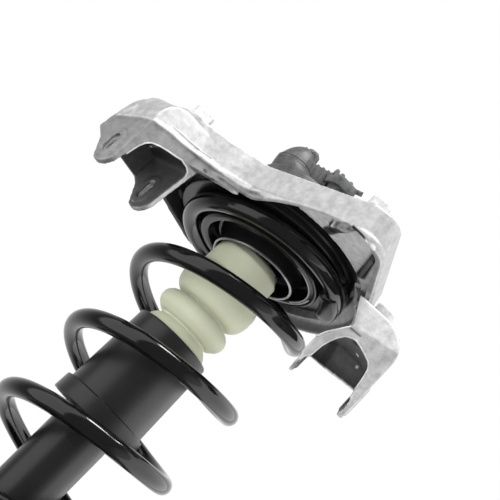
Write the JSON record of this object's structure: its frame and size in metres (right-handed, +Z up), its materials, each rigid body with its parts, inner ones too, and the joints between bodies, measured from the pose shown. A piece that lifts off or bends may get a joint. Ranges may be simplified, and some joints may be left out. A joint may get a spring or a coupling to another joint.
{
  "type": "strut assembly",
  "caption": "Coil-over suspension strut with a cast alloy top bracket carrying arm pockets, a cream bump stop, a dust tube and a lower bushed eye.",
  "frame": {"origin": "centre of the lower eye's bore", "axes": "+Z up the strut's rod, +X along the lower eye's bolt"},
  "size_m": [0.2644, 0.2085, 0.5507],
  "materials": {
    "cast_alloy": "as cast, grainy",
    "plain_steel": "plain",
    "black_rubber": "matte",
    "gloss_black": "gloss",
    "cream_foam": "satin foam",
    "dust_plastic": "satin",
    "coil_black": "gloss",
    "grey_plastic": "matte",
    "rod_chrome": "polished",
    "band_plastic": "matte",
    "strut_black": "satin"
  },
  "bodies": {
    "upper_mount": {"bearing_bracket": "cast_alloy", "mount_bush_shell": "plain_steel", "mount_bush_rubber": "black_rubber", "mount_inner_sleeve": "plain_steel", "rod_washer": "plain_steel", "rod_nut": "plain_steel", "bump_washer": "plain_steel", "bump_cup": "gloss_black", "bump_stop": "cream_foam", "dust_tube": "dust_plastic", "upper_spring_plate": "gloss_black", "upper_spring_pad": "gloss_black", "coil_spring": "coil_black", "top_cover": "grey_plastic", "cover_dome": "grey_plastic", "cover_plug": "grey_plastic", "harness_clip": "grey_plastic", "piston_rod": "rod_chrome", "piston": "plain_steel", "piston_band": "band_plastic", "piston_nut": "plain_steel", "rebound_stop": "plain_steel"},
    "strut_body": {"lower_eye": "strut_black", "eye_rubber": "black_rubber", "strut_tube": "strut_black", "base_valve": "plain_steel", "pressure_tube": "plain_steel", "rod_guide": "plain_steel", "rod_seal": "black_rubber", "tube_cap": "strut_black", "lower_spring_seat": "strut_black", "seat_collar": "strut_black", "lower_spring_pad": "black_rubber"},
    "lower_sleeve": {"eye_sleeve": "plain_steel"}
  },
  "joints": [
    {"name": "damper_travel", "type": "slide", "parent": "upper_mount", "child": "strut_body", "axis": [0, 0, 1], "range_m": [0, 0.05], "stiffness_N_per_m": 26000, "springref_m": -0.004, "deforming": ["coil_spring"]},
    {"name": "lower_bush_twist", "type": "hinge", "parent": "strut_body", "child": "lower_sleeve", "pos_m": [0, 0, 0], "axis": [1, 0, 0], "range_deg": [-15, 15], "stiffness_Nm_per_rad": 2}
  ]
}
